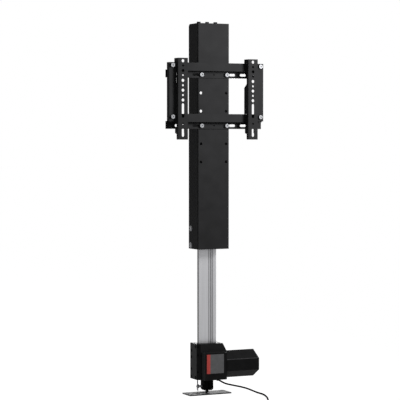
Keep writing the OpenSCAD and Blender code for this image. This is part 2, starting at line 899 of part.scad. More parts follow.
// Radius of the worm at a phase of its thread
function thread_r(phase) = worm_core + (worm_tip - worm_core) * max(0, cos(360 * phase));

module worm() {
    rings = worm_pitches * worm_samples;
    sides = worm_samples * worm_starts;
    points = [
        for (i = [0:rings], k = [0:sides - 1])
            let (a = 360 * k / sides, r = thread_r((i - rings / 2 - k) / worm_samples))
            [(i / rings - 0.5) * worm_l, worm_y + r * cos(a), worm_z + r * sin(a)]
    ];
    color(steel) polyhedron(points, [for (f = skin_faces(rings + 1, sides)) [f[0], f[2], f[1]]]);
}

module worm_bearings() {
    left = cover_x + pocket_skin;
    right = box_right - motor_wall_t;
    color(zinc)
        translate([0, worm_y, worm_z])
            for (x = [left, right])
                difference() {
                    rod_x(x, x + worm_bearing_w, worm_bearing_d);
                    rod_x(x - eps, x + worm_bearing_w + eps, shaft_d + 2 * run);
                }
}

module worm_wheel() {
    tooth = [
        [-tooth_root_w / 2, -wheel_root + tooth_bed], [-tooth_root_w / 2, -wheel_root],
        [-tooth_tip_w / 2, -wheel_tip], [tooth_tip_w / 2, -wheel_tip],
        [tooth_root_w / 2, -wheel_root], [tooth_root_w / 2, -wheel_root + tooth_bed]
    ];
    color([0.78, 0.62, 0.30])
        translate([0, screw_y, worm_z])
            difference() {
                union() {
                    translate([0, 0, -hub_h / 2]) cylinder(h = hub_h, d = hub_d);
                    translate([0, 0, -wheel_face / 2]) cylinder(h = wheel_face, r = wheel_root);
                    intersection() {
                        translate([0, 0, -wheel_face / 2]) cylinder(h = wheel_face, r = 2 * wheel_tip);
                        union()
                            for (k = [0:wheel_teeth - 1])
                                rotate([0, 0, 360 * (k + 0.5) / wheel_teeth])
                                    rotate([0, lead_angle, 0])
                                        linear_extrude(2 * wheel_face, center = true) polygon(tooth);
                    }
                }
                translate([0, 0, -hub_h]) cylinder(h = 2 * hub_h, d = screw_d + 2 * press);
            }
}

module lead_screw() {
    hub_z = worm_z - hub_h / 2;
    color(steel)
        translate([0, screw_y, 0]) {
            translate([0, 0, lower_bearing_z]) cylinder(h = screw_top - lower_bearing_z, d = screw_d);
            translate([0, 0, cavity_z + slide])
                cylinder(h = hub_z - cavity_z - slide, d = collar_d);
        }
}

module screw_bearings() {
    color(zinc)
        for (z = [lower_bearing_z, upper_bearing_z])
            translate([0, screw_y, z])
                difference() {
                    cylinder(h = bearing_w, d = bearing_d);
                    translate([0, 0, -eps]) cylinder(h = bearing_w + 2 * eps, d = screw_d + 2 * run);
                }
}

// COLUMN

module column() {
    color(bare_alloy)
        difference() {
            translate([0, 0, box_top])
                linear_extrude(col_top - box_top)
                    difference() {
                        union() {
                            translate([-col_w / 2, -col_front]) square([col_w, col_flange]);
                            translate([-spine_w / 2, col_back - eps]) square([spine_w, spine_d + eps]);
                        }
                        translate([0, screw_y]) circle(d = bore_d);
                        translate([recess_x - recess_w / 2, -col_front - eps])
                            square([recess_w, recess_d + eps]);
                        translate([recess_x - slot_w / 2, -col_front - eps])
                            square([slot_w, slot_d + eps]);
                    }
            for (s = [-1, 1], z = [box_top - eps, col_top - col_screw_deep])
                translate([s * col_screw_x, col_screw_y, z])
                    cylinder(h = col_screw_deep + eps, d = col_screw_d + 2 * press);
        }
}

module column_screws() {
    color(zinc)
        for (s = [-1, 1])
            translate([s * col_screw_x, col_screw_y, cavity_top]) {
                translate([0, 0, -col_head_h]) cylinder(h = col_head_h, d = col_head_d);
                cylinder(h = roof_t + col_screw_deep - free, d = col_screw_d);
            }
}

module column_slider() {
    color(nylon)
        translate([0, 0, col_top])
            difference() {
                union() {
                    translate([-inner_w / 2 + slide, -slider_front, 0])
                        cube([inner_w - 2 * slide, slider_front + col_back, slider_t]);
                    translate([-spine_w / 2, 0, 0])
                        cube([spine_w, col_back + spine_d, slider_t]);
                }
                translate([0, screw_y, -eps]) cylinder(h = slider_t + 2 * eps, d = tube_d + 2 * run);
                for (s = [-1, 1])
                    translate([s * col_screw_x, col_screw_y, -eps]) {
                        cylinder(h = slider_t + 2 * eps, d = col_screw_d + 2 * run);
                        translate([0, 0, slider_t - col_head_h + eps])
                            cylinder(h = col_head_h + eps, d = col_head_d + 2 * run);
                    }
            }
}

module slider_screws() {
    color(zinc)
        for (s = [-1, 1])
            translate([s * col_screw_x, col_screw_y, col_top]) {
                translate([0, 0, slider_t - col_head_h])
                    cylinder(h = col_head_h, d = col_head_d);
                translate([0, 0, -col_screw_deep + free])
                    cylinder(h = col_screw_deep + slider_t - col_head_h, d = col_screw_d);
            }
}

// SLEEVE

module sleeve_holes() {
    for (sx = [-1, 1], i = [0:2], rail = [0, 1])
        translate([sx * bolt_dx / 2, 0, rail_z - i * step_pitch - rail * rail_pitch])
            rod_y(-sleeve_front - past, -sleeve_front + sleeve_t + past, sleeve_hole_d);
}

module guide_screw_places() {
    for (s = [-1, 1])
        translate([0, guide_screw_y, guide_z + guide_h / 2 + s * guide_pitch / 2]) children();
}

module sleeve() {
    rear = sleeve_back - sleeve_corner;
    high = sleeve_top - sleeve_corner;
    outer = concat(
        [[-sleeve_w / 2, sleeve_back]],
        arc([-sleeve_w / 2 + sleeve_r, -sleeve_front + sleeve_r], sleeve_r, 180, 270),
        arc([sleeve_w / 2 - sleeve_r, -sleeve_front + sleeve_r], sleeve_r, 270, 360),
        [[sleeve_w / 2, sleeve_back]]
    );
    inner_r = max(sleeve_r - sleeve_t, slide);
    inner = concat(
        [[-inner_w / 2, sleeve_back + past]],
        arc([-inner_w / 2 + inner_r, -sleeve_front + sleeve_t + inner_r], inner_r, 180, 270),
        arc([inner_w / 2 - inner_r, -sleeve_front + sleeve_t + inner_r], inner_r, 270, 360),
        [[inner_w / 2, sleeve_back + past]]
    );
    corner = concat([[sleeve_back + past, sleeve_top + past], [rear, sleeve_top + past]],
                    arc([rear, high], sleeve_corner, 90, 0), [[sleeve_back + past, high]]);
    color(black_paint)
        difference() {
            translate([0, 0, sleeve_z]) linear_extrude(sleeve_l) polygon(outer);
            translate([0, 0, sleeve_z - eps])
                linear_extrude(sleeve_l - sleeve_t + eps) polygon(inner);
            prism_x(-sleeve_w, sleeve_w, corner);
            sleeve_holes();
            guide_screw_places() rod_x(-sleeve_w, sleeve_w, guide_screw_d + 2 * run);
            for (i = [-1:1])
                translate([i * top_pitch, 0, sleeve_top - sleeve_t - eps])
                    cylinder(h = 2 * sleeve_t, d = top_screw_d + 2 * run);
        }
}

module head_block() {
    color(steel)
        difference() {
            translate([-head_w / 2, -head_front, head_z])
                cube([head_w, head_back, head_t]);
            translate([0, screw_y, head_z - eps])
                cylinder(h = socket_deep + eps, d = tube_d + 2 * press);
            for (i = [-1:1])
                translate([i * top_pitch, 0, head_z + head_t - top_screw_l])
                    cylinder(h = top_screw_l + eps, d = top_screw_d + 2 * press);
        }
}

module top_screws() {
    color(black_paint)
        for (i = [-1:1])
            translate([i * top_pitch, 0, sleeve_top]) {
                hex(top_head_d * cos(30), top_head_h);
                translate([0, 0, -sleeve_t - top_screw_l + free])
                    cylinder(h = sleeve_t + top_screw_l - free + eps, d = top_screw_d);
            }
}

module push_tube() {
    z0 = nut_z + nut_h;
    color(zinc)
        translate([0, screw_y, 0])
            difference() {
                translate([0, 0, z0]) cylinder(h = head_z + socket_deep - z0, d = tube_d);
                translate([0, 0, z0 - eps]) cylinder(h = sleeve_l, d = tube_d - 2 * tube_t);
            }
}

module drive_nut() {
    color(nylon)
        translate([0, screw_y, nut_z])
            difference() {
                union() {
                    cylinder(h = nut_h, d = bore_d - 2 * slide);
                    cylinder(h = nut_h + nut_spigot, d = tube_d - 2 * tube_t - 2 * press);
                }
                translate([0, 0, -eps]) cylinder(h = nut_h + nut_spigot + 2 * eps, d = screw_d + 2 * run);
            }
}

module guide_block(side) {
    front = -col_front - slide;
    back = col_back + slide;
    x0 = col_w / 2 - jaw_grip;
    x1 = inner_w / 2;
    color(nylon)
        mirror([side < 0 ? 1 : 0, 0, 0])
            difference() {
                translate([x0, front - jaw_t, guide_z])
                    cube([x1 - x0, back - front + 2 * jaw_t, guide_h]);
                translate([x0 - eps, front, guide_z - eps])
                    cube([jaw_grip + slide + eps, back - front, guide_h + 2 * eps]);
                guide_screw_places()
                    rod_x(x1 - guide_screw_l, x1 + eps, guide_screw_d + 2 * press);
            }
}

module guide_block_left() {
    guide_block(-1);
}

module guide_block_right() {
    guide_block(1);
}

module guide_screws() {
    color(zinc)
        for (side = [0, 1])
            mirror([side, 0, 0])
                guide_screw_places() {
                    rod_x(sleeve_w / 2, sleeve_w / 2 + guide_head_h, guide_head_d);
                    rod_x(inner_w / 2 - guide_screw_l + free, sleeve_w / 2 + eps, guide_screw_d);
                }
}

// BRACKET

module rail(z) {
    web = [
        [web_front, -web_low], [-sleeve_front, -web_low],
        [-sleeve_front, shelf_z], [web_front, shelf_z]
    ];
    lip = [
        [web_front + eps, shelf_z - rail_t], [web_front + eps, shelf_z], [lip_back, shelf_z],
        [lip_back, lip_top], [lip_front, lip_top], [lip_front, shelf_z - rail_t]
    ];
    color(black_paint)
        translate([0, 0, z])
            difference() {
                union() {
                    prism_x(-rail_l / 2, rail_l / 2, web);
                    prism_x(-lip_l / 2, lip_l / 2, lip);
                }
                for (sx = [-1, 1]) {
                    translate([sx * bolt_dx / 2, 0, 0])
                        rod_y(web_front - past, -sleeve_front + past, bolt_d + hole_clear);
                    translate([sx * upright_x, 0, upright_bolt_z])
                        rod_y(lip_front - past, lip_back + past, bolt_d + hole_clear);
                    for (x = rail_slot_x)
                        translate([sx * x, 0, 0])
                            slot_y(web_front - past, -sleeve_front + past, rail_slot_l, rail_slot_h);
                    translate([sx * end_hole_x, 0, 0])
                        slot_y(web_front - past, -sleeve_front + past, end_hole_l, rail_slot_h);
                }
                rod_y(web_front - past, -sleeve_front + past, rail_eye_d);
            }
}

module upper_rail() {
    rail(rail_z);
}

module lower_rail() {
    rail(low_rail_z);
}

module rail_bolt_places() {
    for (z = [rail_z, low_rail_z], s = [-1, 1])
        translate([s * bolt_dx / 2, 0, z]) children();
}

// Hexagon bolt along +Y: its head sits on y0, its thread ends at y1
module bolt(y0, y1) {
    color(zinc)
        difference() {
            union() {
                translate([0, y0, 0]) rotate([90, 0, 0]) rotate([0, 0, 30]) hex(bolt_af, bolt_head);
                rod_y(y0 - eps, y1, bolt_d);
            }
            rod_y(y0 - bolt_head - eps, y0 - bolt_head + socket_h, socket_d);
        }
}

// Hexagon nut along +Y that starts at y0
module nut(y0) {
    color(zinc)
        difference() {
            translate([0, y0 + nut_t, 0]) rotate([90, 0, 0]) rotate([0, 0, 30]) hex(bolt_af, nut_t);
            rod_y(y0 - past, y0 + nut_t + past, bolt_d + 2 * press);
        }
}

module rail_bolts() {
    rail_bolt_places() bolt(web_front, -sleeve_front + sleeve_t + nut_t + thread_past);
}

module rail_nuts() {
    rail_bolt_places() nut(-sleeve_front + sleeve_t);
}

module upright(side) {
    low = low_rail_z + shelf_z;
    high = rail_z + lip_top;
    color(black_paint)
        mirror([side < 0 ? 1 : 0, 0, 0])
            difference() {
                union() {
                    translate([upright_out - upright_w, upright_front, low])
                        cube([upright_w, rail_t, high - low]);
                    translate([upright_out - rail_t, upright_front, low])
                        cube([rail_t, upright_d, high - low]);
                }
                for (z = [rail_z, low_rail_z])
                    translate([upright_x, 0, z + upright_bolt_z])
                        rod_y(upright_front - past, lip_front + eps, bolt_d + hole_clear);
            }
}

module left_upright() {
    upright(-1);
}

module right_upright() {
    upright(1);
}

module upright_bolt_places() {
    for (z = [rail_z, low_rail_z], s = [-1, 1])
        translate([s * upright_x, 0, z + upright_bolt_z]) children();
}

module upright_bolts() {
    upright_bolt_places() bolt(upright_front, lip_back + nut_t + thread_past);
}

module upright_nuts() {
    upright_bolt_places() nut(lip_back);
}

// ARMS

// Outline of an arm's flange, which is deeper on the left and deep between the rails there only
function flange(deep) = let (hook_back = deep ? arm_back : arm_front + short_hook) concat(
    [
        [arm_front, arm_top], [hook_back, arm_top], [hook_back, hook_low], [arm_hook, hook_low],
        [arm_hook, hook_z], [arm_strip, hook_z]
    ],
    deep ? [
        [arm_strip, notch_z], [arm_back, notch_z - notch_slope], [arm_back, low_lip_z],
        [arm_strip, low_lip_z]
    ] : [],
    [
        [arm_strip, low_web_z], [bump_back, low_web_z], [bump_back, bump_low],
        [arm_strip, bump_low - bump_slope], [arm_strip, arm_low + toe_cut],
        [arm_strip - toe_cut, arm_low], [arm_front, arm_low]
    ]
);

module arm(side) {
    y0 = arm_front - past;
    y1 = arm_front + arm_t + past;
    color(black_paint)
        translate([side * arm_spacing / 2, 0, 0])
            difference() {
                union() {
                    translate([-arm_w / 2, arm_front, arm_low]) cube([arm_w, arm_t, arm_l]);
                    prism_x(-arm_w / 2, -arm_w / 2 + arm_t, flange(true));
                    prism_x(arm_w / 2 - arm_t, arm_w / 2, flange(false));
                }
                for (i = [0:arm_holes - 1])
                    translate([0, 0, arm_top - arm_edge - i * arm_pitch])
                        rod_y(y0, y1, i % 2 == 0 ? arm_hole_d : arm_eye_d);
                translate([0, 0, arm_top - mid_slot_drop - mid_slot_l / 2])
                    slot_y(y0, y1, mid_slot_l, arm_slot_w, true);
                translate([0, 0, arm_low + low_slot_rise + low_slot_l / 2])
                    slot_y(y0, y1, low_slot_l, arm_slot_w, true);
                translate([0, 0, arm_low + low_eye_rise])
                    rod_y(y0, y1, arm_eye_d);
            }
}

module left_arm() {
    arm(-1);
}

module right_arm() {
    arm(1);
}

// CABLE

module cable_gland() {
    color(black_plastic)
        intersection() {
            translate(gland_pos)
                rotate([0, 90 + gland_tilt, 0]) {
                    translate([0, 0, -gland_d]) cylinder(h = gland_d + gland_l / 2, d = gland_d);
                    translate([0, 0, gland_l / 2 - eps])
                        cylinder(h = gland_l / 2 + eps, d1 = gland_d, d2 = cable_d + 2 * boot_wall);
                }
            translate([gland_pos.x - 2 * gland_l, gland_pos.y - gland_d, 0])
                cube([4 * gland_l, 2 * gland_d, box_z]);
        }
}

module motor_cable() {
    color(black_plastic) swept(route, cable_r, tube_sides);
}

module cable_coil() {
    turns = [
        for (i = [0:2 * coil_turns * coil_steps]) coil_point(i / coil_steps - coil_turns)
    ];
    end = turns[len(turns) - 1];
    path = concat(
        turns,
        [for (q = tail) end + q[0] * coil_way - [0, 0, q[1] * tail_drop / tail[len(tail) - 1][1]]]
    );
    echo(coil_least_gap_mm = self_gap(turns, coil_steps / 2, cable_d));
    color(black_plastic) swept(path, cable_r, coil_sides);
}

module coil_tie() {
    r0 = coil_in - cable_r - tie_gap;
    r1 = coil_out + cable_r + slide;
    high = coil_z + coil_step + cable_r + slide;
    color(black_plastic)
        translate([coil_pos.x, coil_pos.y, 0])
            rotate([0, 0, coil_turn - tie_turn])
                translate([r0 - tie_t, -tie_w / 2, 0])
                    difference() {
                        cube([r1 - r0 + 2 * tie_t, tie_w, high + tie_t]);
                        translate([tie_t, -eps, tie_t])
                            cube([r1 - r0, tie_w + 2 * eps, high - tie_t]);
                    }
}

module cable_plug() {
    color(black_plastic)
        translate(tail_end)
            rotate([0, 0, coil_turn + 90])
                difference() {
                    union() {
                        rotate([0, 90, 0])
                            cylinder(h = plug_boot + eps, d1 = cable_d + 2 * boot_wall, d2 = boot_d);
                        rod_x(plug_boot, plug_boot + plug_l, plug_d);
                    }
                    rod_x(plug_boot + plug_l - plug_socket_l, plug_boot + plug_l + eps,
                          plug_d - 2 * plug_wall);
                }
}

base_plate();
clevis_pin();
hairpin_clip();
rear_fork();
gearbox_housing();
gearbox_cover();
cover_screws();
front_housing();
blank_label();
limit_board();
motor_cover();
motor_end_cap();
motor_can();
motor_magnets();
motor_end_bell();
motor_brushes();
motor_shaft();
armature();
worm();
worm_bearings();
worm_wheel();
lead_screw();
screw_bearings();
column();
column_screws();
column_slider();
slider_screws();
sleeve();
head_block();
top_screws();
push_tube();
drive_nut();
guide_block_left();
guide_block_right();
guide_screws();
upper_rail();
lower_rail();
rail_bolts();
rail_nuts();
left_upright();
right_upright();
upright_bolts();
upright_nuts();
left_arm();
right_arm();
cable_gland();
motor_cable();
cable_coil();
coil_tie();
cable_plug();
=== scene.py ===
"""Looks of a motorised screen lift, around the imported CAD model: camera, cable, materials, trim, light."""

import json
import math

import bmesh
import bpy
from mathutils import Matrix, Vector


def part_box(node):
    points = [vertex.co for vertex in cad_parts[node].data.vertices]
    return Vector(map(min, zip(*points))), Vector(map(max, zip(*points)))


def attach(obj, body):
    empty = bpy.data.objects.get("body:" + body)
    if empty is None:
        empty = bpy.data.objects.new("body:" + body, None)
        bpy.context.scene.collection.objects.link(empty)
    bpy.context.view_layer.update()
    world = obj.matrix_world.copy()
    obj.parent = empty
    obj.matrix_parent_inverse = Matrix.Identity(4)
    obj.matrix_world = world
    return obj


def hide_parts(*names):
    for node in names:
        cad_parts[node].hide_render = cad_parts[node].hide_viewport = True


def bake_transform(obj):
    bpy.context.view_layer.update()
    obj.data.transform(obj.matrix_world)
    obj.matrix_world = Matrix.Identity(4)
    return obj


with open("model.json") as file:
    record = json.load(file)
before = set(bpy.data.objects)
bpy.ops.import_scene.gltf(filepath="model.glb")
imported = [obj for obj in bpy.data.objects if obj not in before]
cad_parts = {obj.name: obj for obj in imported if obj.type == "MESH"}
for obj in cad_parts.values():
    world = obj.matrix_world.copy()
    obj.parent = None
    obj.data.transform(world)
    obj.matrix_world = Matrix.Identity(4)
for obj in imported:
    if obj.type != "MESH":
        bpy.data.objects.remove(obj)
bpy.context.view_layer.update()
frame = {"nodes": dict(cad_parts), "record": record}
nodes = frame["nodes"]
scene = bpy.context.scene

MM = 0.001
UP = Vector((0, 0, 1))


def mm(*values):
    """A point given in millimetres, in metres."""
    return Vector(values) * MM


# Camera: the photograph's own place and focal length

CAMERA_AT = mm(-1858, -3941, 671)
CAMERA_YAW = math.radians(25)
CAMERA_PITCH = math.radians(-2.12)
SENSOR = 36
FOCAL_PIXELS = 1664
IMAGE_PIXELS = 400
CLIP_NEAR = 0.1
CLIP_FAR = 100


def make_camera():
    data = bpy.data.cameras.new("camera")
    data.sensor_width = SENSOR
    data.lens = FOCAL_PIXELS / IMAGE_PIXELS * SENSOR
    data.clip_start = CLIP_NEAR
    data.clip_end = CLIP_FAR
    camera = bpy.data.objects.new("camera", data)
    scene.collection.objects.link(camera)
    level = math.cos(CAMERA_PITCH)
    ahead = Vector((level * math.sin(CAMERA_YAW), level * math.cos(CAMERA_YAW), math.sin(CAMERA_PITCH)))
    camera.location = CAMERA_AT
    camera.rotation_mode = "QUATERNION"
    camera.rotation_quaternion = ahead.to_track_quat("-Z", "Y")
    scene.camera = camera


make_camera()


# Mesh helpers

SMOOTH_ANGLE = math.radians(35)


def new_piece(name, mesh_data):
    """An object for a finished bmesh, smooth where its faces meet at a shallow angle."""
    mesh = bpy.data.meshes.new(name)
    mesh_data.to_mesh(mesh)
    mesh_data.free()
    mesh.shade_smooth()
    mesh.set_sharp_from_angle(angle=SMOOTH_ANGLE)
    piece = bpy.data.objects.new(name, mesh)
    scene.collection.objects.link(piece)
    return piece


def path_way(points, i):
    """Direction of a path at point i."""
    before = points[max(i - 1, 0)]
    after = points[min(i + 1, len(points) - 1)]
    return (after - before).normalized()


def add_loft(made, points, radii, sides, way=None):
    """Add a closed round form along a path, with a radius at each point.

    A straight form gives its own way, which its rings then all stand across.
    """
    angles = [2 * math.pi * k / sides for k in range(sides)]
    rings = []
    for i, (point, radius) in enumerate(zip(points, radii)):
        ahead = path_way(points, i) if way is None else way
        side = ahead.cross(UP).normalized()
        over = side.cross(ahead)
        rings.append([
            made.verts.new(point + radius * (math.cos(a) * side + math.sin(a) * over)) for a in angles
        ])
    for low, high in zip(rings, rings[1:]):
        for k in range(sides):
            made.faces.new((low[k], low[k - 1], high[k - 1], high[k]))
    made.faces.new(rings[0])
    made.faces.new(rings[-1])
    bmesh.ops.recalc_face_normals(made, faces=made.faces)


def loft(name, points, radii, sides):
    made = bmesh.new()
    add_loft(made, points, radii, sides)
    return new_piece(name, made)


def turned(name, places, profile, sides):
    """Equal turned forms, each from a start along a way.

    The profile gives distances along the way and radii, in millimetres.
    """
    made = bmesh.new()
    radii = [radius * MM for distance, radius in profile]
    for start, way in places:
        points = [start + way * (distance * MM) for distance, radius in profile]
        add_loft(made, points, radii, sides, way)
    return new_piece(name, made)


def box_piece(name, low, high):
    """A box between two corners."""
    made = bmesh.new()
    place = Matrix.Translation((low + high) / 2)
    scale = Matrix.Diagonal((*(high - low), 1))
    bmesh.ops.create_cube(made, size=1, matrix=place @ scale)
    return new_piece(name, made)


# Cable: the free route, the coil and the tail to the connector

CABLE_D = 4.5
CABLE_SIDES = 12
GLAND_AT = Vector((22, -8, 40))
GLAND_FALL = math.radians(30)
GLAND_WAY = Vector((math.cos(GLAND_FALL), 0, -math.sin(GLAND_FALL)))
GLAND_LENGTH = 9
GLAND_END = GLAND_AT + GLAND_LENGTH * GLAND_WAY
COIL_AT = Vector((75, -286))
COIL_TURN = math.radians(155)
COIL_TURNS = 2.5
COIL_IN = 20
COIL_GAP = 0.5
COIL_STEP = CABLE_D + COIL_GAP
COIL_Z = 3.45
COIL_WAY = Vector((-math.sin(COIL_TURN), math.cos(COIL_TURN), 0))
COIL_CLIMB = 0.5
COIL_SAMPLES = 48
ROUTE_START = [0, 5, 10]
ROUTE_MIDDLE = [
    (47, -9.5, 26), (56, -11.5, 23), (65, -14, 20.8), (74, -17, 18.7), (84, -21, 16.5),
    (94, -26.5, 14), (103, -33.5, 11), (110.5, -42, 7.5), (116.5, -51.5, 4.5), (120.5, -62, 2.8),
    (122, -73, 2.4), (121.5, -84, 2.4), (119.5, -95, 2.4), (117, -106, 2.4), (114, -117, 2.4),
    (110.5, -127, 2.4), (107, -137, 2.4), (103, -147, 2.4), (98.5, -157, 2.4), (94, -167, 2.4),
    (89.5, -177, 2.4), (85, -187, 2.4), (80.5, -197, 2.4), (76, -207, 2.4), (71.5, -216.5, 2.4),
    (67, -226.5, 2.4), (62.5, -236, 2.5), (58, -246, 2.7), (53.5, -255.5, 3.1),
]
TAIL = [(4.5, 0), (10, 0.4), (15, 1), (20, 1.6), (24, 1.85), (28, 1.95), (33, 1.95)]
ROUTE_SAMPLES = 5


def coil_point(turn):
    """Point of the coil, from -COIL_TURNS to COIL_TURNS: inwards on the floor, then outwards on top."""
    angle = COIL_TURN + 2 * math.pi * (turn + COIL_TURNS)
    radius = COIL_IN + COIL_STEP * abs(turn)
    climb = min(1, max(0, turn / COIL_CLIMB + 1 / 2))
    x = COIL_AT.x + radius * math.cos(angle)
    y = COIL_AT.y + radius * math.sin(angle)
    return Vector((x, y, COIL_Z + COIL_STEP * climb))


def smooth_path(points, samples):
    """Points on a smooth curve through the given ones."""
    made = []
    last = len(points) - 1
    for i in range(last):
        before, here, there, after = (points[min(max(k, 0), last)] for k in (i - 1, i, i + 1, i + 2))
        for s in range(samples):
            t = s / samples
            made.append(
                here
                + (there - before) * (t / 2)
                + (2 * before - 5 * here + 4 * there - after) * (t * t / 2)
                + (3 * here - before - 3 * there + after) * (t * t * t / 2)
            )
    return [*made, points[last]]


def cable_path():
    """The whole cable from the gland to the connector, in metres."""
    start = coil_point(-COIL_TURNS)
    end = coil_point(COIL_TURNS)
    route = [GLAND_END + run * GLAND_WAY for run in ROUTE_START]
    route += [Vector(p) for p in ROUTE_MIDDLE]
    route += [start - CABLE_D * COIL_WAY, start]
    steps = round(2 * COIL_TURNS * COIL_SAMPLES)
    coil = [coil_point(i / COIL_SAMPLES - COIL_TURNS) for i in range(1, steps + 1)]
    tail = smooth_path([end, *(end + along * COIL_WAY - drop * UP for along, drop in TAIL)], ROUTE_SAMPLES)
    return [p * MM for p in [*smooth_path(route, ROUTE_SAMPLES), *coil, *tail[1:]]]


path = cable_path()
cable = loft("cable", path, [CABLE_D / 2 * MM] * len(path), CABLE_SIDES)
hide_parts("motor_cable", "cable_coil")

PLUG_PROFILE = [
    (0, 2.6), (0.6, 3.1), (2, 3.2), (2.2, 2.7), (3.4, 2.7), (3.6, 3.6), (5.4, 3.7), (5.6, 3.1), (6.8, 3.1),
    (7, 4.1), (8.8, 4.2), (9, 3.6), (10.2, 3.6), (10.4, 4.6), (13.4, 5), (14, 6.1), (14.6, 6.5), (20, 6.5),
    (20.5, 6.1), (22, 6.1), (22.5, 6.5), (24, 6.5), (24.5, 6.1), (26, 6.1), (26.5, 6.5), (39.4, 6.5),
    (40, 6.1), (40, 4.6), (30, 4.6),
]
PLUG_SIDES = 40

plug = turned("connector", [(path[-1], COIL_WAY)], PLUG_PROFILE, PLUG_SIDES)
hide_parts("cable_plug")

PINS = 5
PIN_STEP = 60
PIN_TURNS = [math.radians(PIN_STEP * k) for k in range(PINS)]
PIN_RING_R = 2.7
PIN_PROFILE = [(29, 0.5), (37, 0.5), (37.4, 0.4), (37.6, 0.2)]
PIN_SIDES = 12


def make_pins():
    """Contacts in the connector's open end."""
    side = COIL_WAY.cross(UP)
    starts = [path[-1] + (side * math.cos(a) + UP * math.sin(a)) * (PIN_RING_R * MM) for a in PIN_TURNS]
    return turned("connector_pins", [(start, COIL_WAY) for start in starts], PIN_PROFILE, PIN_SIDES)


pins = make_pins()

TIE_W = 8
TIE_T = 0.9
TIE_TURN = COIL_TURN - math.radians(120)
TIE_ROUND = 2.5
TIE_GAP = 0.3
TIE_INNER_GAP = 2
TIE_CORNER_STEPS = 6


def tie_outlines():
    """Outer and inner outline of the strap: distances from the coil's middle, and heights."""
    low = COIL_IN - CABLE_D / 2 - TIE_INNER_GAP - TIE_T + TIE_ROUND
    high = COIL_IN + COIL_STEP * COIL_TURNS + CABLE_D / 2 + TIE_GAP + TIE_T - TIE_ROUND
    top = COIL_Z + COIL_STEP + CABLE_D / 2 + TIE_GAP + TIE_T - TIE_ROUND
    outer = []
    inner = []
    for corner, (x, z) in enumerate([(high, top), (low, top), (low, TIE_ROUND), (high, TIE_ROUND)]):
        for step in range(TIE_CORNER_STEPS + 1):
            angle = math.pi / 2 * (corner + step / TIE_CORNER_STEPS)
            for line, radius in ((outer, TIE_ROUND), (inner, TIE_ROUND - TIE_T)):
                line.append((x + radius * math.cos(angle), z + radius * math.sin(angle)))
    return outer, inner


def make_tie():
    """A strap with round corners about the coil's turns."""
    out = Vector((math.cos(TIE_TURN), math.sin(TIE_TURN), 0))
    half = UP.cross(out) * (TIE_W / 2)
    centre = Vector((COIL_AT.x, COIL_AT.y, 0))
    outer, inner = tie_outlines()
    made = bmesh.new()
    rows = [
        [made.verts.new((centre + out * r + UP * z + half * side) * MM) for r, z in line]
        for line, side in ((outer, -1), (outer, 1), (inner, 1), (inner, -1))
    ]
    for here, there in zip(rows, [*rows[1:], rows[0]]):
        for k in range(len(outer)):
            made.faces.new((here[k], here[k - 1], there[k - 1], there[k]))
    bmesh.ops.recalc_face_normals(made, faces=made.faces)
    return new_piece("coil_strap", made)


tie = make_tie()
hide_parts("coil_tie")

for piece in (cable, plug, pins, tie):
    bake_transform(piece)


# Materials: each has colour variation, its own gloss and a fine relief

NOISE_LOW = 0.3
NOISE_HIGH = 0.7
BLOTCH_DETAIL = 4.0
GRAIN_DETAIL = 2.0
COOL_TINT = 1.03


def new_material(name, colour, roughness, metallic=0.0):
    material = bpy.data.materials.new(name)
    material.use_nodes = True
    shader = material.node_tree.nodes["Principled BSDF"]
    shader.inputs["Base Color"].default_value = (*colour, 1)
    shader.inputs["Roughness"].default_value = roughness
    shader.inputs["Metallic"].default_value = metallic
    return material, shader


def noise(material, scale, detail, stretch):
    """A noise value over the piece's own coordinates, in cycles for each metre."""
    tree = material.node_tree
    place = tree.nodes.new("ShaderNodeTexCoord")
    mapping = tree.nodes.new("ShaderNodeMapping")
    mapping.inputs["Scale"].default_value = stretch
    texture = tree.nodes.new("ShaderNodeTexNoise")
    texture.inputs["Scale"].default_value = scale
    texture.inputs["Detail"].default_value = detail
    tree.links.new(place.outputs["Object"], mapping.inputs["Vector"])
    tree.links.new(mapping.outputs["Vector"], texture.inputs["Vector"])
    return texture.outputs["Fac"]


def vary_roughness(material, shader, value, low, high):
    ranged = material.node_tree.nodes.new("ShaderNodeMapRange")
    ranged.inputs["From Min"].default_value = NOISE_LOW
    ranged.inputs["From Max"].default_value = NOISE_HIGH
    ranged.inputs["To Min"].default_value = low
    ranged.inputs["To Max"].default_value = high
    material.node_tree.links.new(value, ranged.inputs["Value"])
    material.node_tree.links.new(ranged.outputs["Result"], shader.inputs["Roughness"])


def vary_colour(material, shader, value, dark, light):
    ramp = material.node_tree.nodes.new("ShaderNodeValToRGB")
    for stop, place, colour in zip(ramp.color_ramp.elements, (NOISE_LOW, NOISE_HIGH), (dark, light)):
        stop.position = place
        stop.color = (*colour, 1)
    material.node_tree.links.new(value, ramp.inputs["Fac"])
    material.node_tree.links.new(ramp.outputs["Color"], shader.inputs["Base Color"])


def relief(material, shader, value, strength, depth_mm):
    bump = material.node_tree.nodes.new("ShaderNodeBump")
    bump.inputs["Strength"].default_value = strength
    bump.inputs["Distance"].default_value = depth_mm * MM
    material.node_tree.links.new(value, bump.inputs["Height"])
    material.node_tree.links.new(bump.outputs["Normal"], shader.inputs["Normal"])


def grey(value):
    return (value, value, value * COOL_TINT)


def surface(name, dark, light, rough, blotch, grain, bump, metallic=0.0, stretch=(1, 1, 1), gloss=0.5):
    """A material with blotches of colour and gloss and a finer relief.

    Blotches and grain are in cycles for each metre, and bump is the relief's strength and its depth in mm.
    """
    material, shader = new_material(name, light, rough[1], metallic)
    shader.inputs["Specular IOR Level"].default_value = gloss
    wide = noise(material, blotch, BLOTCH_DETAIL, stretch)
    fine = noise(material, grain, GRAIN_DETAIL, stretch)
    vary_colour(material, shader, wide, dark, light)
    vary_roughness(material, shader, wide, *rough)
    relief(material, shader, fine, *bump)
    return material


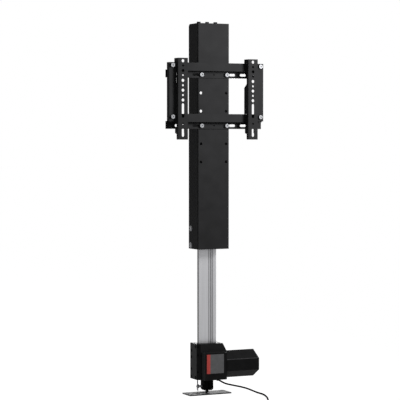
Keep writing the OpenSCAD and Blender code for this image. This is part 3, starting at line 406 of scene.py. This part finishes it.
MOULDED = {"rough": (0.36, 0.48), "blotch": 45, "grain": 900, "bump": (0.3, 0.1)}
FILM = {"rough": (0.3, 0.4), "blotch": 90, "grain": 1500, "bump": (0.05, 0.01), "gloss": 0.1}
FINISHES = {
    "black_powder_coat": dict(
        dark=grey(0.037), light=grey(0.045), rough=(0.42, 0.52), blotch=30, grain=1400, bump=(0.35, 0.08),
        gloss=0.006,
    ),
    "black_moulding": dict(MOULDED, dark=grey(0.019), light=grey(0.025), gloss=0.02),
    "gear_moulding": dict(MOULDED, dark=grey(0.027), light=grey(0.034), gloss=0.018),
    "drive_moulding": dict(MOULDED, dark=grey(0.023), light=grey(0.031), gloss=0.01),
    # a paler moulding: painted highlight on the motor's upper ridges
    "highlight_moulding": dict(MOULDED, dark=grey(0.1), light=grey(0.13), gloss=0.02),
    # a darker moulding: painted shade on the rear fork, and the own dark colour of the screws and caps
    "shaded_matt_moulding": dict(MOULDED, dark=grey(0.008), light=grey(0.012), rough=(0.5, 0.6), gloss=0.004),
    "zinc_steel": dict(
        dark=(0.15, 0.155, 0.16), light=(0.22, 0.22, 0.23), rough=(0.4, 0.52), blotch=260, grain=2200,
        bump=(0.1, 0.02), metallic=1.0,
    ),
    "plate_steel": dict(
        dark=grey(0.28), light=grey(0.36), rough=(0.34, 0.5), blotch=70, grain=1500, bump=(0.15, 0.03),
        gloss=0.02,
    ),
    "bare_alloy": dict(
        dark=grey(0.47), light=grey(0.53), rough=(0.36, 0.48), blotch=60, grain=900, bump=(0.12, 0.02),
        metallic=0.72, stretch=(6, 6, 0.08), gloss=0.1,
    ),
    "nylon": dict(
        dark=(0.78, 0.78, 0.72), light=(0.84, 0.84, 0.79), rough=(0.42, 0.55), blotch=60, grain=1200,
        bump=(0.15, 0.04),
    ),
    "tool_steel": dict(
        dark=grey(0.34), light=grey(0.44), rough=(0.25, 0.38), blotch=120, grain=1800, bump=(0.1, 0.02),
        metallic=1.0,
    ),
    "bronze": dict(
        dark=(0.60, 0.40, 0.16), light=(0.72, 0.50, 0.22), rough=(0.28, 0.4), blotch=120, grain=1500,
        bump=(0.1, 0.02), metallic=1.0,
    ),
    "iron_copper": dict(
        dark=(0.40, 0.20, 0.11), light=(0.55, 0.30, 0.17), rough=(0.35, 0.5), blotch=200, grain=1200,
        bump=(0.2, 0.05), metallic=1.0,
    ),
    "magnet": dict(
        dark=grey(0.07), light=grey(0.11), rough=(0.55, 0.7), blotch=120, grain=1500, bump=(0.3, 0.06),
    ),
    "circuit_board": dict(
        dark=(0.02, 0.12, 0.05), light=(0.03, 0.16, 0.07), rough=(0.3, 0.42), blotch=120, grain=900,
        bump=(0.15, 0.03),
    ),
    "cable_jacket": dict(
        dark=grey(0.008), light=grey(0.012), rough=(0.6, 0.72), blotch=120, grain=1500, bump=(0.25, 0.05),
        gloss=0.002,
    ),
    "label_film": dict(FILM, dark=grey(0.19), light=grey(0.23)),
    "label_red": dict(FILM, dark=(0.84, 0.115, 0.1), light=(0.92, 0.14, 0.12)),
}
materials = {name: surface(name, **finish) for name, finish in FINISHES.items()}


# Painted shade: a material's colour goes down along an axis of its piece, or of its faces' directions


def axis_of(material, coordinate, axis):
    """One axis of the piece's own coordinates, or of its faces' directions."""
    tree = material.node_tree
    place = tree.nodes.new("ShaderNodeTexCoord")
    axes = tree.nodes.new("ShaderNodeSeparateXYZ")
    tree.links.new(place.outputs[coordinate], axes.inputs["Vector"])
    return axes.outputs[axis]


def stepped(material, value, unit, steps, high, change="CONSTANT"):
    """Grey over a value: each step starts at its place, in units, and the last one ends at high."""
    tree = material.node_tree
    low = steps[0][0]
    ranged = tree.nodes.new("ShaderNodeMapRange")
    ranged.inputs["From Min"].default_value = low * unit
    ranged.inputs["From Max"].default_value = high * unit
    tree.links.new(value, ranged.inputs["Value"])
    ramp = tree.nodes.new("ShaderNodeValToRGB")
    ramp.color_ramp.interpolation = change
    stops = ramp.color_ramp.elements
    stops.remove(stops[1])
    for i, (start, tone) in enumerate(steps):
        place = (start - low) / (high - low)
        stop = stops[0] if i == 0 else stops.new(place)
        stop.position = place
        stop.color = (tone, tone, tone, 1)
    tree.links.new(ranged.outputs["Result"], ramp.inputs["Fac"])
    return ramp.outputs["Color"]


def darken(material, tone, share=None):
    """Multiply a material's colour by a grey, all over or by a share."""
    tree = material.node_tree
    base = tree.nodes["Principled BSDF"].inputs["Base Color"]
    shade = tree.nodes.new("ShaderNodeMix")
    shade.data_type = "RGBA"
    shade.blend_type = "MULTIPLY"
    factor, colour, film = (s for s in shade.inputs if s.enabled and s.name in ("Factor", "A", "B"))
    factor.default_value = 1
    if share:
        tree.links.new(share, factor)
    tree.links.new(base.links[0].from_socket, colour)
    tree.links.new(tone, film)
    tree.links.new(next(s for s in shade.outputs if s.enabled), base)


# Column: painted shade, darker in its groove, in the corners of its recess and on its side faces

GROOVE_DEPTHS = [(-5, 0.0), (-2.85, 1.0), (6.85, 0.0)]
GROOVE_BACK = 10
COLUMN_SHADE_TONES = [
    (-26, 0.25), (-24, 1.0), (1.5, 0.45), (4.2, 0.8), (6.8, 0.75), (11.2, 0.8), (13.8, 0.5), (16.5, 1.0),
    (24, 0.25),
]
GROOVE_RIGHT = 26


def shade_column_grooves(material):
    depth = stepped(material, axis_of(material, "Object", "Y"), MM, GROOVE_DEPTHS, GROOVE_BACK)
    tone = stepped(material, axis_of(material, "Object", "X"), MM, COLUMN_SHADE_TONES, GROOVE_RIGHT)
    # painted shade: the groove, the recess corners and the side faces are darkened
    darken(material, tone, depth)


# Plate: painted shade on its upright faces and the lug, and a painted shadow of the gearbox and fork beside
# the window

UPRIGHT_SHADE_TONES = [(-1, 1.0), (-0.6, 0.06), (0.6, 1.0)]
PLATE_SHADOW_TONES = [(-60, 1.0), (-54, 1.0), (-38, 0.2), (-8, 0.2), (12, 1.0)]
PLATE_SHADOW_RIGHT = 60
PLATE_SHADOW_DEPTHS = [(-24, 0.0), (-22, 0.1), (-12, 1.0), (8, 1.0), (21, 0.0)]
PLATE_SHADOW_BACK = 24


def shade_plate(material):
    # painted shade: every upright face of the plate, the lug among them, is darkened
    darken(material, stepped(material, axis_of(material, "Normal", "Z"), 1, UPRIGHT_SHADE_TONES, 1))
    # painted shadow of the gearbox and fork on the plate beside the window
    depth = stepped(material, axis_of(material, "Object", "Y"), MM, PLATE_SHADOW_DEPTHS, PLATE_SHADOW_BACK, "EASE")
    tone = stepped(material, axis_of(material, "Object", "X"), MM, PLATE_SHADOW_TONES, PLATE_SHADOW_RIGHT, "EASE")
    darken(material, tone, depth)


# Gearbox: painted shade, its roof and its cut corner are darker than its sides

ROOF_SHADE_TONES = [(-1, 1.0), (0.8, 0.3)]
CORNER_SHADE_TONES = [(-1, 0.87), (-0.9, 0.5), (-0.5, 1.0)]


def shade_gearbox(material):
    # painted shade: the roof and the cut corner are darkened
    darken(material, stepped(material, axis_of(material, "Normal", "Z"), 1, ROOF_SHADE_TONES, 1))
    darken(material, stepped(material, axis_of(material, "Normal", "X"), 1, CORNER_SHADE_TONES, 1))


# Motor: painted light and shade, its upper slopes are paler and its lower ones darker

SLOPE_SHADE_TONES = [(-1, 0.55), (-0.5, 0.77), (0.5, 1.0)]


def shade_motor(material):
    # painted light and shade: the upper slopes stay pale and the lower slopes are darkened
    darken(material, stepped(material, axis_of(material, "Normal", "Z"), 1, SLOPE_SHADE_TONES, 1))


# Each solid has its slot's material, and some black mouldings have their own


def set_material(piece, name):
    piece.data.materials.clear()
    piece.data.materials.append(materials[name])


for row in frame["record"]["subparts"]:
    set_material(nodes[row["node"]], row["material_slot"])
for piece, slot in (
    (cable, "cable_jacket"), (plug, "black_moulding"), (pins, "zinc_steel"), (tie, "black_moulding")
):
    set_material(piece, slot)
# painted shade on the column, plate and gearbox, and painted light and shade on the motor
shade_column_grooves(materials["bare_alloy"])
shade_plate(materials["plate_steel"])
shade_gearbox(materials["gear_moulding"])
shade_motor(materials["drive_moulding"])
for finish, names in {
    "gear_moulding": ("gearbox_housing", "gearbox_cover"),
    "drive_moulding": ("front_housing", "motor_cover", "motor_end_cap"),
    # painted shade: the rear fork takes the darker copy of the moulding
    "shaded_matt_moulding": ("rear_fork", "cover_screws"),
}.items():
    for name in names:
        set_material(nodes[name], finish)


# Soft edges on the solids, so that they catch the light as folded and moulded edges do

EDGE_MM = {
    "sleeve": 0.5, "upper_rail": 0.5, "lower_rail": 0.5, "left_upright": 0.5, "right_upright": 0.5,
    "left_arm": 0.4, "right_arm": 0.4, "base_plate": 0.4, "rear_fork": 0.8, "gearbox_housing": 1.0,
    "gearbox_cover": 1.0, "front_housing": 1.2, "motor_cover": 0.8, "motor_end_cap": 0.8, "column": 0.4,
    "column_slider": 0.5, "head_block": 0.6, "top_screws": 0.4, "rail_bolts": 0.4, "upright_bolts": 0.3,
    "rail_nuts": 0.4, "upright_nuts": 0.3,
}
EDGE_ANGLE = math.radians(40)
EDGE_SEGMENTS = 2

for name, width in EDGE_MM.items():
    edge = nodes[name].modifiers.new("soft_edges", "BEVEL")
    edge.width = width * MM
    edge.segments = EDGE_SEGMENTS
    edge.limit_method = "ANGLE"
    edge.angle_limit = EDGE_ANGLE
    edge.harden_normals = False


# Label: a bare film with a plain band

LABEL_BAND_W = 10
LABEL_LIFT = 0.15


def make_label_band():
    low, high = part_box("blank_label")
    corner = Vector((low.x + LABEL_BAND_W * MM, low.y, high.z))
    return box_piece("label_band", Vector((low.x, low.y - LABEL_LIFT * MM, low.z)), corner)


band = make_label_band()
set_material(band, "label_red")
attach(band, "actuator")


# Strain relief: ribs about the gland's outer half

RIBS = 3
RIB_STEP = 1.5
RIB_FIRST = 4.2
RIB_R = 4.15
RIB_FALL = 0.3
RIB_DEEP = 0.55
RIB_W = 1
RIB_SLOPE = 0.15
RIB_SIDES = 32


def make_gland_ribs():
    profile = []
    for i in range(RIBS):
        start = RIB_FIRST + i * RIB_STEP
        radius = RIB_R - i * RIB_FALL
        end = start + RIB_W
        low = radius - RIB_DEEP
        profile += [(start, low), (start + RIB_SLOPE, radius), (end - RIB_SLOPE, radius), (end, low)]
    return turned("gland_ribs", [(GLAND_AT * MM, GLAND_WAY)], profile, RIB_SIDES)


ribs = make_gland_ribs()
set_material(ribs, "cable_jacket")
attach(ribs, "actuator")


# Clevis pin: a washer beside the clip

WASHER_GAP = 0.3
WASHER_WAY = Vector((1, 0, 0))
WASHER_PROFILE = [(0, 3.02), (0.02, 4.6), (0.25, 4.85), (1.25, 4.85), (1.5, 4.6), (1.52, 3.02)]
WASHER_SIDES = 32


def make_washer():
    pin_low, pin_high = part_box("clevis_pin")
    start = (pin_low + pin_high) / 2
    start.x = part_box("hairpin_clip")[1].x + WASHER_GAP * MM
    return turned("pin_washer", [(start, WASHER_WAY)], WASHER_PROFILE, WASHER_SIDES)


washer = make_washer()
set_material(washer, "zinc_steel")
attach(washer, "foot")


# Screws at the bottom of the pits in the gearbox's front corner

PIT_WAY = Vector((-1, -1, 0)).normalized()
PIT_AT = (-33.086, -16.086)
PIT_HEIGHTS = [61, 105.5, 127]
PITS = [(mm(*PIT_AT, z), PIT_WAY) for z in PIT_HEIGHTS]
PIT_SCREW_PROFILE = [(0, 2.3), (1.1, 2.3), (1.4, 2.0), (1.4, 1.2), (0.6, 1.1)]
PIT_SCREW_SIDES = 24

pit_screws = turned("corner_screws", PITS, PIT_SCREW_PROFILE, PIT_SCREW_SIDES)
set_material(pit_screws, "shaded_matt_moulding")
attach(pit_screws, "actuator")


# Caps over the screws of the gearbox's cover

CAP_WAY = Vector((-1, 0, 0))
CAP_BACK = [(18, z) for z in (46, 66, 97, 114)]
CAP_FRONT = [(-8, z) for z in (46, 126)]
CAP_PROFILE = [(-2, 2.4), (0.02, 2.4), (0.02, 3.9), (0.3, 3.9), (0.6, 3.6), (0.7, 2.2), (0.4, 1.8)]
CAP_SIDES = 32


def make_caps():
    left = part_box("gearbox_cover")[0].x
    places = [(Vector((left, y * MM, z * MM)), CAP_WAY) for y, z in CAP_BACK + CAP_FRONT]
    return turned("screw_caps", places, CAP_PROFILE, CAP_SIDES)


caps = make_caps()
set_material(caps, "shaded_matt_moulding")
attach(caps, "actuator")


# Motor: a painted highlight, a pale strip along each upper edge of its upright sides

RIDGE_R = 1
RIDGE_TIP = [(1, 1), (0.5, 0.8), (0, 0.4)]
RIDGE_RISE = 0.5
RIDGE_FLAT = 30
RIDGE_SIDES = 16
RIDGE_WAY = Vector((1, 0, 0))


def make_ridge_highlights():
    low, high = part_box("motor_cover")
    gear_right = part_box("gearbox_housing")[1].x
    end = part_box("motor_end_cap")[1].x
    z = (low.z + high.z) / 2 + (RIDGE_FLAT / 2 + RIDGE_RISE) * MM
    radius = RIDGE_R * MM
    made = bmesh.new()
    for y, start in ((low.y + radius, low.x), (high.y - radius, gear_right)):
        places = [start, *(end - back * radius for back, share in RIDGE_TIP)]
        radii = [radius, *(share * radius for back, share in RIDGE_TIP)]
        add_loft(made, [Vector((x, y, z)) for x in places], radii, RIDGE_SIDES, RIDGE_WAY)
    return new_piece("motor_ridge_highlights", made)


# painted highlight: pale strips along the motor's upper ridges
ridge_highlights = make_ridge_highlights()
set_material(ridge_highlights, "highlight_moulding")
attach(ridge_highlights, "actuator")


# Guide screws: domed heads with a socket, on washers

GUIDE_PITCH = 43.5
GUIDE_HEAD_H = 3
GUIDE_PROFILE = [
    (-10, 2.4), (0.02, 2.4), (0.02, 7.4), (1.1, 7.4), (1.3, 7.2), (1.3, 6), (1.7, 6.2), (3, 5.9), (4.2, 4.8),
    (4.8, 3.6), (4.8, 2.8), (2.2, 2.6),
]
GUIDE_SIDES = 36


def make_guide_screws():
    low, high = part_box("guide_screws")
    middle = (low + high) / 2
    face = high.x - GUIDE_HEAD_H * MM
    places = []
    for side in (-1, 1):
        for rise in (-1, 1):
            start = Vector((side * face, middle.y, middle.z + rise * GUIDE_PITCH / 2 * MM))
            places.append((start, Vector((side, 0, 0))))
    return turned("guide_screw_heads", places, GUIDE_PROFILE, GUIDE_SIDES)


guide_heads = make_guide_screws()
set_material(guide_heads, "zinc_steel")
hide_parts("guide_screws")
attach(guide_heads, "lift")


# Light: a key from the right, one behind, a low fill from the left and a white surround

LAMPS = {
    "key": {"place": (0.85, -0.9, 1.08), "target": (0, 0, 1.0), "size": 0.4, "power": 6.2, "spread": 100},
    "back": {"place": (0.7, 1.2, 0.55), "target": (0, 0, 0.75), "size": 0.5, "power": 2.6, "spread": 60},
    "low_fill": {
        "place": (-0.75, 0.4, 0.08), "target": (0, 0, 0.02), "size": 0.3, "power": 0.25, "spread": 60,
    },
}
WHITE = (1, 1, 1, 1)
WORLD_LIGHT = 0.13
FLOOR_GREY = 0.8
FLOOR_GLOW = 1 - FLOOR_GREY * WORLD_LIGHT
FLOOR_ROUGHNESS = 0.9
FLOOR_HALF = 30


def area_light(name, place, target, size, power, spread):
    data = bpy.data.lights.new(name, "AREA")
    data.shape = "SQUARE"
    data.size = size
    data.energy = power
    data.spread = math.radians(spread)
    light = bpy.data.objects.new(name, data)
    scene.collection.objects.link(light)
    light.location = place
    light.rotation_mode = "QUATERNION"
    light.rotation_quaternion = (Vector(target) - Vector(place)).to_track_quat("-Z", "Y")


for name, lamp in LAMPS.items():
    area_light(name, **lamp)


def seen_direct(tree):
    """1 where the camera sees a surface, also in a mirror or through glass, and 0 for its light."""
    paths = tree.nodes.new("ShaderNodeLightPath")
    seen = paths.outputs["Is Camera Ray"]
    for ray in ("Is Glossy Ray", "Is Transmission Ray"):
        either = tree.nodes.new("ShaderNodeMath")
        either.operation = "MAXIMUM"
        tree.links.new(seen, either.inputs[0])
        tree.links.new(paths.outputs[ray], either.inputs[1])
        seen = either.outputs[0]
    return seen


def make_world():
    world = bpy.data.worlds.new("surround")
    scene.world = world
    world.use_nodes = True
    tree = world.node_tree
    shade = tree.nodes["Background"]
    shade.inputs["Color"].default_value = WHITE
    strength = tree.nodes.new("ShaderNodeMapRange")
    strength.inputs["To Min"].default_value = WORLD_LIGHT
    strength.inputs["To Max"].default_value = 1.0
    tree.links.new(seen_direct(tree), strength.inputs["Value"])
    tree.links.new(strength.outputs["Result"], shade.inputs["Strength"])


def make_floor():
    made = bmesh.new()
    bmesh.ops.create_grid(made, x_segments=1, y_segments=1, size=FLOOR_HALF)
    floor = new_piece("floor", made)
    material, shader = new_material("floor", (FLOOR_GREY,) * 3, FLOOR_ROUGHNESS)
    tree = material.node_tree
    shader.inputs["Specular IOR Level"].default_value = 0.0
    shader.inputs["Emission Color"].default_value = WHITE
    glow = tree.nodes.new("ShaderNodeMath")
    glow.operation = "MULTIPLY"
    glow.inputs[1].default_value = FLOOR_GLOW
    tree.links.new(seen_direct(tree), glow.inputs[0])
    tree.links.new(glow.outputs[0], shader.inputs["Emission Strength"])
    floor.data.materials.append(material)


make_world()
make_floor()
scene.view_settings.view_transform = "Standard"
